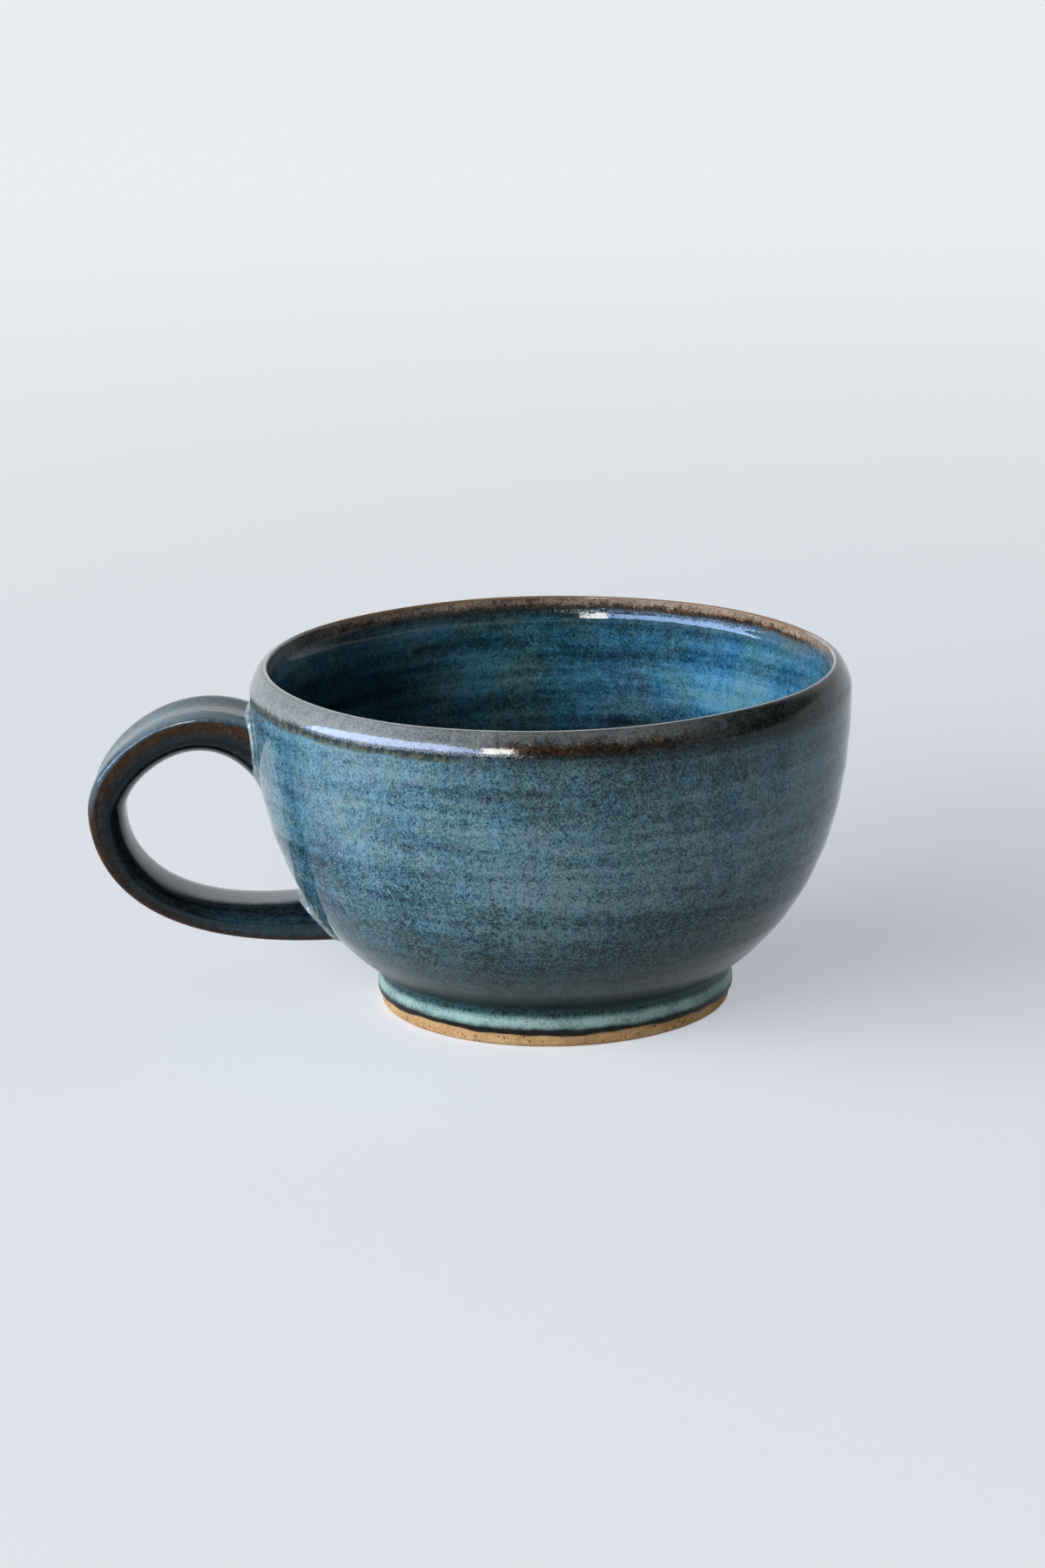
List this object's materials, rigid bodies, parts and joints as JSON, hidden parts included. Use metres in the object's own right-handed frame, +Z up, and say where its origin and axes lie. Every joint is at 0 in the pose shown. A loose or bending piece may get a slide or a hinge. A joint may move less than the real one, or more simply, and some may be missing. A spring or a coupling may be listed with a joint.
{
  "type": "cappuccino cup",
  "caption": "Wheel-thrown stoneware cappuccino cup: a round bowl with a soft lip, a pulled strap handle, a speckled blue glaze inside and out, and a bare clay foot to stand on.",
  "frame": {"origin": "centre of the foot ring, on the surface that the cup stands on", "axes": "+Z up along the bowl's axis, the handle points to -X"},
  "size_m": [0.1446, 0.1134, 0.066],
  "materials": {
    "stoneware": "fired sandy stoneware clay",
    "bare_clay": "unglazed, gritty, with dark iron specks",
    "pooled_glaze": "glossy, pale where it pools",
    "blue_glaze": "glossy speckled blue, brown on the lip",
    "liner_glaze": "glossy speckled blue-green",
    "dark_glaze": "glossy blue-black, brown on the edges"
  },
  "bodies": {
    "root": {"bowl": "stoneware", "foot_ring": "bare_clay", "handle": "stoneware", "upper_fillet": "pooled_glaze", "lower_fillet": "pooled_glaze", "outer_glaze": "blue_glaze", "liner_glaze": "liner_glaze", "handle_glaze": "dark_glaze"}
  },
  "joints": []
}
